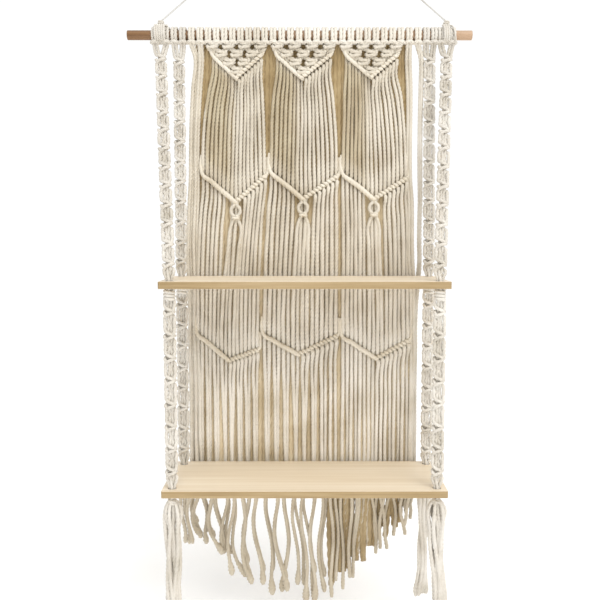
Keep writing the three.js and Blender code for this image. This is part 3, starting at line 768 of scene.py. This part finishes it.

# %% [markdown]
# ## The cords behind
# Between the strands no light comes through, and the eye sees a deeper straw tone. More cords hang
# there, close behind and in the others' shade, and their dark straw tone is painted shade that
# stands for that shade. They go straight down from the dowel and end behind the lower board, each at
# its own height. Lower down they carry painted light. Those at the right go on into the fringe,
# nearly down to the cut, which is why that part of it looks dense.

# %% Rear layer
BEHIND = {"cords": 50, "diameter": 8.4, "top": (-139.5, 137.0), "foot": (-153.5, 148.0), "forward": -6.0}
REAR_START, REAR_STEP, REAR_STEPS = -4.0, 97.0, 6
REAR_TWIST = 5.0        # length of one turn of their twist, in diameters
REACH_FROM = 36.0       # cords to the right of this reach into the fringe
rear_end = REAR_START - REAR_STEP * REAR_STEPS
routes = []
for i in range(BEHIND["cords"]):
    share = i / (BEHIND["cords"] - 1)
    top_x, foot_x = between(*BEHIND["top"], share), between(*BEHIND["foot"], share)
    route = [at(top_x, REAR_START, BEHIND["forward"])]
    for part in range(1, REAR_STEPS + 1):
        x = between(top_x, foot_x, part / REAR_STEPS) + 0.8 * uneven(part, i)
        forward = BEHIND["forward"] + 0.3 * uneven(part, i + 50)
        route.append(at(x, REAR_START - REAR_STEP * part, forward))
    if foot_x > REACH_FROM:
        low = height_on(CUT, foot_x) + 6.0 + 26.0 * abs(uneven(i, 33))
        route.append(at(foot_x + 2.0 * uneven(i, 35), between(rear_end, low, 0.5), BEHIND["forward"]))
        route.append(at(foot_x + 4.0 * uneven(i, 37), low, BEHIND["forward"]))
    else:
        route[-1].z = at(0, rear_end - 3.0 - 8.0 * abs(uneven(i, 31))).z
    routes.append(route)
rear = laid_cords("cords_behind", routes, BEHIND["diameter"], REAR_TWIST)
dress_with_painted_light(rear, straw_cotton, lambda x, z: height_on(REAR_PAINTED_LIGHT, -z), "macrame_panel")

# %% [markdown]
# ## Holding cords, rows of hitches and eyes
# Every V has two holding cords. The one of the left arm lies in front as a smooth, fat roll. The
# one of the right arm is covered by its row of hitches, from the point to its upper end, where the
# holding cord comes down from above. A short turn of cord closes each eye where its two strands
# cross.

# %% The two arms of a V
# how far its holding cords come down from above, how fat the smooth arm is, and the radius,
# fullness and forward place of its hitches
BORDER_ARMS = {"rise": 9.0, "roll": 1.16, "hitches": (1.2, 0.95, 5.4)}
ZIGZAG_ARMS = {"rise": 24.0, "roll": 1.42, "hitches": (1.7, 0.95, 2.4)}
holders = []
hitches = []
closers = []


def hold(v, arms):
    """The two holding cords of one V, and the row of hitches on its right arm."""
    (lx, lz), (px, pz), (rx, rz) = v
    rise, roll = arms["rise"], arms["roll"]
    smooth_arm = [at(lx + 0.6, lz + rise, 0.5, 0.8), at(lx - 0.4, lz + 0.35 * rise, 2.4, 0.95)]
    for share in (0.06, 0.3, 0.55, 0.8):
        smooth_arm.append(at(between(lx, px, share), between(lz, pz, share) + 0.5 * uneven(share * 10, lx),
                             4.2, roll if share > 0.1 else 1.1))
    smooth_arm += [at(px - 0.6, pz + 0.2, 4.0, 0.8 * roll), at(px + 2.6, pz - 2.2, 1.0, 0.8)]
    holders.append(smooth_arm)
    holders.append([at(rx - 3.0, rz - 1.6, 1.0, 0.8), at(rx + 0.8, rz + 1.2, 1.6, 0.9),
                    at(rx + 1.6, rz + 0.4 * rise, 0.8, 0.9), at(rx + 1.2, rz + rise, 0.0, 0.8)])
    hitches.append(winding((px - 1.0, pz - 0.4), (rx, rz), *arms["hitches"]))


# %% Holding cords
for name, low, high, knots, point in GROUPS:
    if point is not None:
        hold(((low + BORDER_INSET, BORDER_TOP), point, (high - BORDER_INSET, BORDER_TOP)), BORDER_ARMS)
for v in SECOND_ZIGZAG:
    hold(v, ZIGZAG_ARMS)
    closers.append(coil((v[1][0], v[1][1] - 21.2, 3.2), 4.2, 1.6, 0.2, "z", start=-2.2, full=0.75))
for v in THIRD_ZIGZAG:
    hold(v, ZIGZAG_ARMS)
for name, routes in (("holding_cords", holders), ("rows_of_hitches", hitches), ("eye_closers", closers)):
    dress(laid_cords(name, routes), cream_cotton, "cotton_cord")

# %% [markdown]
# ## The braids that carry the boards
# Each braid hangs from two lark's heads. Its four cords are tied in square knots a thumb's width
# apart: between two knots the inner cords run straight and the outer ones bow out, which leaves a
# pair of long openings. The braid runs through a hole near a board's corner and is stopped below
# the board by a thick knot, and goes on to the lower board.

# %% Stations along a braid
BRAIDS = [              # name, lark's heads, place of its hole across and forward of the dowel
    ("front_left", (-196.5, -181.5), (-163.0, 120.0)),
    ("back_left", (-171.0, -159.9), (-163.0, 20.0)),
    ("front_right", (180.5, 195.5), (163.0, 120.0)),
    ("back_right", (161.0, 171.3), (166.2, 20.0)),
]
UPPER_TOP, LOWER_TOP, THICK = -318.0, -573.5, 9.0
BRAID_FULL = 0.88       # how full its cords are in a knot
BRAID_PITCH = 27.0      # from one knot to the next
BOWS = (-5.5, -1.3, 1.3, 5.5)   # how far its cords bow out between two knots
HOLE_FULL = 0.8         # the cords are pressed thin in a hole
NECK = [(-2.7, 0.0), (0.0, 2.7), (0.0, -2.7), (2.7, 0.0)]    # the four cords inside a hole


def along_braid(start, end, place, u, f, full=BRAID_FULL):
    """A station at a place along a braid, given across it and forward of it."""
    axis = (end - start).to_3d().normalized()
    across = Vector((1, 0, 0)) - axis * axis.x
    across.normalize()
    forward = axis.cross(across)
    if forward.y > 0:
        forward.negate()
    spot = start.to_3d() + axis * place * MM + across * u * MM + forward * f * MM
    return Vector((*spot, full))


def sinnet(start, end, cord, seed):
    """Stations of one cord of a run of spaced square knots."""
    length = (end - start).to_3d().length / MM
    count = round(length / BRAID_PITCH)
    pitch = length / count
    stations = []
    for i in range(count):
        middle = (i + 0.5) * pitch + 1.2 * uneven(i, seed)
        for u, v, f in BRAID_KNOT[cord]:
            stations.append(along_braid(start, end, middle - v, u, f * 1.05))
        if i < count - 1:
            bow = BOWS[cord] * (1 + 0.1 * uneven(i + cord, seed + 2))
            forward = 0.5 * uneven(i, cord) + (0.9 if abs(bow) > 4 else -2.8)
            stations.append(along_braid(start, end, (i + 1) * pitch, bow, forward, 1.0))
    return stations


STOP = {"high": 13.0, "radius": 5.6, "turn": 4.2, "rise": 0.34}     # the knot below the upper board


def stop_knot(x, forward, top):
    """The wraps of a thick round knot below a board."""
    return coil((x, top - STOP["high"] / 2, forward), STOP["radius"], STOP["high"] / STOP["turn"],
                STOP["rise"], "z", full=BRAID_FULL)


# %% Braids
for seed, (name, heads, (x, forward)) in enumerate(BRAIDS):
    gather = at(sum(heads) / 2, -22, 6 if forward > 100 else 1)
    upper = [at(x, UPPER_TOP + 8, forward), at(x, UPPER_TOP - THICK - 14, forward)]
    lower = [at(x, LOWER_TOP + 8, forward), at(x, LOWER_TOP - THICK - 3.5, forward)]
    ends = []
    for cord in range(4):
        u, f = NECK[cord]
        route = head_half(heads[cord // 2], 1 if cord % 2 else -1)
        route += sinnet(gather, upper[0], cord, seed)
        route += [at(x + u, UPPER_TOP + 1, forward + f, HOLE_FULL),
                  at(x + u, UPPER_TOP - THICK - 1, forward + f, HOLE_FULL)]
        route += sinnet(upper[1], lower[0], cord, seed + 9)
        route += [at(x + u, LOWER_TOP + 1, forward + f, HOLE_FULL),
                  at(x + u, LOWER_TOP - THICK - 4, forward + f, HOLE_FULL)]
        ends.append(route)
    routes = [list(reversed(ends[0])) + ends[1][1:], list(reversed(ends[2])) + ends[3][1:]]
    routes.append(stop_knot(x, forward, UPPER_TOP - THICK - 0.6))
    braid = laid_cords("braid_cords_" + name, routes)
    dress(braid, pale_cotton, "pale_cotton", "braid_" + name)

# %% [markdown]
# ## The tassels
# Below the lower board each braid ends in a knot whose cords hang free. They have come partly
# undone, so they are fuller than in the braid, and they wave and spread. The back left one is three
# cords of the same finish as the fringe, whose painted shade makes them straw-coloured, mostly
# hidden by the front one.

# %% One cord of a tassel
TASSELS = {             # cords that hang free, how far they spread, length and lean to the right
    "front_left": (14, 9.0, 172, -1.0),
    "back_left": (3, 7.0, 96, 3.0),
    "front_right": (14, 10.0, 170, 6.0),
    "back_right": (9, 7.5, 168, -3.0),
}
LOCK_STEPS = 7
BULGE_DROP = 14.0       # from the knot down to the widest place of its bulge


def tassel_lock(x, forward, i, seed, spread, length, lean):
    """One cord of a tassel. It bulges out of the knot first, and then hangs with soft waves."""
    inner = i % 3 == 2
    angle = i * 2.4 + 0.5 * seed
    du, df = math.cos(angle), 0.7 * math.sin(angle)
    reach = spread * (0.4 if inner else 1.0 + 0.15 * uneven(i, seed))
    length *= 1 + 0.035 * uneven(i, seed + 20)
    top = LOWER_TOP - THICK - 5.0
    lock = [at(x + du * 2.2, top, forward + df * 2.4, 0.7),
            at(x + du * 0.75 * reach, top - 5.0, forward + df * 0.75 * reach, 0.8),
            at(x + du * 1.12 * reach, top - BULGE_DROP, forward + df * 1.12 * reach, 0.95)]
    for part in range(1, LOCK_STEPS + 1):
        share = part / LOCK_STEPS
        out = reach * (0.78 + 0.2 * math.sin(math.pi * (0.8 + 1.1 * share)))
        wave = 2.6 * math.sin(6.5 * share + 5 * uneven(i, seed + 4))
        level = top - BULGE_DROP - share * (length - BULGE_DROP)
        lock.append(at(x + du * out + wave + lean * share, level, forward + df * out,
                       1.1 if part < LOCK_STEPS else 1.0))
    tip = lock[-1].copy()
    tip.z -= 1.5 * MM
    tip.w = 0.7
    return lock + [tip]


# %% Tassels
for seed, (name, heads, (x, forward)) in enumerate(BRAIDS):
    count, spread, length, lean = TASSELS[name]
    routes = [coil((x, LOWER_TOP - THICK - 8.0, forward), 4.0, 1.6, 0.25, "z", start=seed, full=0.9)]
    routes += [tassel_lock(x, forward, i, seed, spread, length, lean) for i in range(count)]
    locks = laid_cords("tassel_locks_" + name, routes)
    # The back left tassel takes the panel's painted shade.
    if name == "back_left":
        dress_with_painted_light(locks, panel_cotton, painted_light_at, "tassel_" + name)
    else:
        dress(locks, pale_cotton, "pale_cotton", "tassel_" + name)

# %% [markdown]
# ## The boards
# The boards are planed pine or basswood, 350 by 124 mm and 9 mm thick, with a hole near each
# corner. A box gets its four upright corners rounded and then every sharp edge eased with a small
# bevel, as sandpaper does. The holes are cut with a Boolean modifier, because a drill does just
# that.

# %% Shapes of the boards
BOARD = {"wide": 350.0, "deep": 124.0, "back": 18.5, "corner": 2.0, "eased": 0.7, "hole": 10.6}


def drill(top):
    """Four upright rods where the holes go."""
    rods = bmesh.new()
    for name, heads, (x, forward) in BRAIDS:
        place = Matrix.Translation(at(x, top - THICK / 2, forward).to_3d())
        bmesh.ops.create_cone(rods, cap_ends=True, segments=40, radius1=BOARD["hole"] / 2 * MM,
                              radius2=BOARD["hole"] / 2 * MM, depth=3 * THICK * MM, matrix=place)
    mesh = bpy.data.meshes.new("drill")
    rods.to_mesh(mesh)
    rods.free()
    return bpy.data.objects.new("drill", mesh)


def board(name, top):
    """One board with rounded corners, eased edges and its four holes."""
    plank = bmesh.new()
    middle = Vector((0, -(BOARD["back"] + BOARD["deep"] / 2), top - DROP - THICK / 2)) * MM
    size = Matrix.Diagonal((BOARD["wide"] * MM, BOARD["deep"] * MM, THICK * MM, 1.0))
    bmesh.ops.create_cube(plank, size=1.0, matrix=Matrix.Translation(middle) @ size)
    upright = [e for e in plank.edges if abs(e.verts[0].co.z - e.verts[1].co.z) > THICK * MM / 2]
    bmesh.ops.bevel(plank, geom=upright, offset=BOARD["corner"] * MM, segments=4, profile=0.5,
                    affect="EDGES", material=-1)
    level = [e for e in plank.edges if abs(e.verts[0].co.z - e.verts[1].co.z) < 1e-7]
    bmesh.ops.bevel(plank, geom=level, offset=BOARD["eased"] * MM, segments=3, profile=0.5,
                    affect="EDGES", material=-1)
    mesh = bpy.data.meshes.new(name)
    plank.to_mesh(mesh)
    plank.free()
    holder = bpy.data.objects.new(name + "_blank", mesh)
    bpy.context.scene.collection.objects.link(holder)
    cutter = drill(top)
    bpy.context.scene.collection.objects.link(cutter)
    cut = holder.modifiers.new("holes", "BOOLEAN")
    cut.operation = "DIFFERENCE"
    cut.object = cutter
    bpy.context.view_layer.update()
    drilled = bpy.data.meshes.new_from_object(holder.evaluated_get(bpy.context.evaluated_depsgraph_get()))
    bpy.data.objects.remove(holder)
    bpy.data.objects.remove(cutter)
    return as_piece(name, drilled, smooth=False)


# %% [markdown]
# ### Pale planed wood
# Basswood is planed and left unvarnished: a satin sheen, hardly any grain, and soft stripes a few
# millimetres apart along the board where the growth rings run out. The stripes are one noise that
# is stretched forty times along X, and a second, finer one gives the pores.

# %% Wood finishes
def planed_wood(name, tones, stripe, stretch, rough):
    """Planed wood with stripes of this width, stretched along X."""
    finish = new_finish(name)
    place = add_node(finish, "ShaderNodeTexCoord")
    grain_map = add_node(finish, "ShaderNodeMapping",
                         {"Scale": (1 / (stripe * stretch), 1 / stripe, 1 / stripe)},
                         {"Vector": place.outputs["Object"]})
    rings = add_node(finish, "ShaderNodeTexNoise",
                     {"Scale": 1.0, "Detail": 4.0, "Roughness": 0.55, "Distortion": 0.4},
                     {"Vector": grain_map.outputs["Vector"]})
    tone = colour_steps(finish, rings.outputs["Fac"], [(0.3, tones[0]), (0.5, tones[1]), (0.7, tones[2])])
    pore_map = add_node(finish, "ShaderNodeMapping", {"Scale": (1 / 0.012, 1 / 0.0008, 1 / 0.0008)},
                        {"Vector": place.outputs["Object"]})
    pores = add_node(finish, "ShaderNodeTexNoise", {"Scale": 1.0, "Detail": 2.0},
                     {"Vector": pore_map.outputs["Vector"]})
    relief = add_node(finish, "ShaderNodeBump", {"Strength": 0.25, "Distance": 0.0002},
                      {"Height": pores.outputs["Fac"]})
    satin = add_node(finish, "ShaderNodeMapRange",
                     {"From Min": 0.3, "From Max": 0.7, "To Min": rough - 0.07, "To Max": rough + 0.07},
                     {"Value": rings.outputs["Fac"]})
    surface = add_node(finish, "ShaderNodeBsdfPrincipled", {"IOR": 1.5},
                       {"Base Color": tone, "Roughness": satin.outputs["Result"],
                        "Normal": relief.outputs["Normal"]})
    add_node(finish, "ShaderNodeOutputMaterial", links={"Surface": surface.outputs["BSDF"]})
    return finish


# %% Boards
planed_basswood = planed_wood("planed_basswood", ["#EADDC8", "#E4D5BD", "#DBCAAF"], 0.009, 40, 0.52)
# The upright sides and the hole walls get a darker tone: painted shade, as light falls mostly from above.
shaded_board_sides = planed_wood("painted_shade_board_side", ["#B39C76", "#A89068", "#9A825B"], 0.003, 30, 0.62)
for name, top in (("shelf_upper", UPPER_TOP), ("shelf_lower", LOWER_TOP)):
    plank = dress(board("board_" + name, top), planed_basswood, "board_wood", name)
    plank.data.materials.append(shaded_board_sides)
    # Painted shade: every face that is not a top or a bottom takes the darker finish.
    for face in plank.data.polygons:
        face.material_index = int(abs(face.normal.z) < 0.3)

# %% [markdown]
# ## The dowel
# The dowel is a turned rod with a barely broken edge at its ends. A cone with equal ends is a rod;
# its two end rims get a small bevel. Its wood is redder than the boards, and its left end is darker
# than its right.

# %% Dowel
DOWEL = (-233.4, 222.0)
rod = bmesh.new()
middle = at((DOWEL[0] + DOWEL[1]) / 2, 0).to_3d()
bmesh.ops.create_cone(rod, cap_ends=True, segments=64, radius1=DOWEL_RADIUS * MM, radius2=DOWEL_RADIUS * MM,
                      depth=(DOWEL[1] - DOWEL[0]) * MM,
                      matrix=Matrix.Translation(middle) @ Matrix.Rotation(math.pi / 2, 4, "Y"))
rims = [e for e in rod.edges if abs(e.verts[0].co.x - e.verts[1].co.x) < 1e-6]
bmesh.ops.bevel(rod, geom=rims, offset=0.6 * MM, segments=3, profile=0.5, affect="EDGES", material=-1)
rod_mesh = bpy.data.meshes.new("dowel_rod")
rod.to_mesh(rod_mesh)
rod.free()

# %% Dowel finish
def turned_wood():
    """Turned wood, dark brown at its left end and a light salmon brown at its right."""
    finish = new_finish("turned_brown_wood")
    place = add_node(finish, "ShaderNodeTexCoord")
    grain_map = add_node(finish, "ShaderNodeMapping", {"Scale": (1 / 0.24, 1 / 0.004, 1 / 0.004)},
                         {"Vector": place.outputs["Object"]})
    grain = add_node(finish, "ShaderNodeTexNoise", {"Scale": 1.0, "Detail": 4.0, "Roughness": 0.55},
                     {"Vector": grain_map.outputs["Vector"]})
    dark = colour_steps(finish, grain.outputs["Fac"],
                        [(0.3, "#94704B"), (0.5, "#805C39"), (0.7, "#6A4A2C")])
    light = colour_steps(finish, grain.outputs["Fac"],
                         [(0.3, "#CCB298"), (0.5, "#BD9E81"), (0.7, "#AC8A6B")])
    across = add_node(finish, "ShaderNodeSeparateXYZ", links={"Vector": place.outputs["Object"]})
    share = add_node(finish, "ShaderNodeMapRange", {"From Min": DOWEL[0] * MM, "From Max": DOWEL[1] * MM},
                     {"Value": across.outputs["X"]})
    tone = mixed(finish, share.outputs["Result"], dark, light)
    relief = add_node(finish, "ShaderNodeBump", {"Strength": 0.2, "Distance": 0.0002},
                      {"Height": grain.outputs["Fac"]})
    surface = add_node(finish, "ShaderNodeBsdfPrincipled", {"Roughness": 0.48, "IOR": 1.5},
                       {"Base Color": tone, "Normal": relief.outputs["Normal"]})
    add_node(finish, "ShaderNodeOutputMaterial", links={"Surface": surface.outputs["BSDF"]})
    return finish


dress(as_piece("dowel_rod", rod_mesh), turned_wood(), "dowel_wood", "dowel")

# %% [markdown]
# ## The nail
# The nail is drawn steel wire with a flat head. Its CAD solid has the right shape and stays. Drawn
# steel has fine scratches along its length, which blur its reflections unevenly.

# %% Steel finish
def drawn_steel():
    """Bright drawn steel wire, slightly scratched."""
    finish = new_finish("drawn_steel")
    place = add_node(finish, "ShaderNodeTexCoord")
    scratch_map = add_node(finish, "ShaderNodeMapping", {"Scale": (1 / 0.0004, 1 / 0.01, 1 / 0.0004)},
                           {"Vector": place.outputs["Object"]})
    scratches = add_node(finish, "ShaderNodeTexNoise", {"Scale": 1.0, "Detail": 3.0},
                         {"Vector": scratch_map.outputs["Vector"]})
    blur = add_node(finish, "ShaderNodeMapRange", {"To Min": 0.25, "To Max": 0.5},
                    {"Value": scratches.outputs["Fac"]})
    surface = add_node(finish, "ShaderNodeBsdfPrincipled",
                       {"Metallic": 1.0, "Base Color": hex_colour("#B9B6AE")},
                       {"Roughness": blur.outputs["Result"]})
    add_node(finish, "ShaderNodeOutputMaterial", links={"Surface": surface.outputs["BSDF"]})
    return finish


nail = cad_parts["nail"]
steel = drawn_steel()
if nail.material_slots:
    nail.material_slots[0].material = steel
else:
    nail.data.materials.append(steel)
print("nail finish:", steel.name)

# %% [markdown]
# ## Floor and light
# The photograph is lit by broad soft daylight from above and in front, a little from the right. A
# wide sun stands for the sky and two area lights for the windows, one high at the right and a
# weaker one that is low. The surroundings are white behind the shelf and a little over half as
# bright behind the viewer, so that the arms of the zigzags and the knots keep their shade. The floor
# is plain and pale, below the tassels.

# %% Floor
floor_shape = bmesh.new()
bmesh.ops.create_grid(floor_shape, x_segments=1, y_segments=1, size=6.0,
                      matrix=Matrix.Translation((0.0, 0.0, -0.965)))
floor_mesh = bpy.data.meshes.new("floor")
floor_shape.to_mesh(floor_mesh)
floor_shape.free()
floor = bpy.data.objects.new("floor", floor_mesh)
bpy.context.scene.collection.objects.link(floor)
floor_finish = new_finish("pale_plaster_floor")
floor_place = add_node(floor_finish, "ShaderNodeTexCoord")
floor_noise = add_node(floor_finish, "ShaderNodeTexNoise", {"Scale": 8.0},
                       {"Vector": floor_place.outputs["Object"]})
floor_tone = colour_steps(floor_finish, floor_noise.outputs["Fac"], [(0.3, "#FEFDFB"), (0.7, "#FFFFFF")])
floor_surface = add_node(floor_finish, "ShaderNodeBsdfPrincipled", {"Roughness": 0.9},
                         {"Base Color": floor_tone})
add_node(floor_finish, "ShaderNodeOutputMaterial", links={"Surface": floor_surface.outputs["BSDF"]})
floor_mesh.materials.append(floor_finish)

# %% Lights
def soft_light(name, place, target, size, power, colour):
    """A square area light that faces its target."""
    lamp = bpy.data.lights.new(name, "AREA")
    lamp.size = size
    lamp.energy = power
    lamp.color = hex_colour(colour)[:3]
    holder = bpy.data.objects.new(name, lamp)
    holder.location = place
    holder.rotation_euler = (Vector(target) - Vector(place)).to_track_quat("-Z", "Y").to_euler()
    bpy.context.scene.collection.objects.link(holder)


def soft_sun(name, towards, power, spread, colour):
    """Daylight from one side, as wide as a bright sky."""
    lamp = bpy.data.lights.new(name, "SUN")
    lamp.energy = power
    lamp.angle = math.radians(spread)
    lamp.color = hex_colour(colour)[:3]
    holder = bpy.data.objects.new(name, lamp)
    holder.rotation_euler = Vector(towards).to_track_quat("-Z", "Y").to_euler()
    bpy.context.scene.collection.objects.link(holder)


# %% Windows, sky and surroundings
soft_light("window", (0.9, -1.5, 0.9), (0.0, -0.05, -0.5), 0.9, 9.0, "#FFFCF7")
soft_light("low_window", (0.15, -1.5, -0.8), (0.0, -0.05, -0.62), 0.9, 4.2, "#FFFCF7")
soft_sun("sky_light", (-0.25, 0.6, -1.0), 1.25, 50.0, "#FFFEFB")
world = bpy.data.worlds.new("pale_room")
world.use_nodes = True
room = world.node_tree.nodes
direction = room.new("ShaderNodeTexCoord")
axes = room.new("ShaderNodeSeparateXYZ")
strength = room.new("ShaderNodeMapRange")
for key, value in {"From Min": -0.3, "From Max": 0.2, "To Min": 0.6, "To Max": 1.05}.items():
    strength.inputs[key].default_value = value
world.node_tree.links.new(direction.outputs["Generated"], axes.inputs["Vector"])
world.node_tree.links.new(axes.outputs["Y"], strength.inputs["Value"])
world.node_tree.links.new(strength.outputs["Result"], room["Background"].inputs["Strength"])
room["Background"].inputs["Color"].default_value = hex_colour("#FFFFFF")
bpy.context.scene.world = world
bpy.context.scene.view_settings.view_transform = "Standard"
print("lights:", [light.name for light in bpy.data.lights])
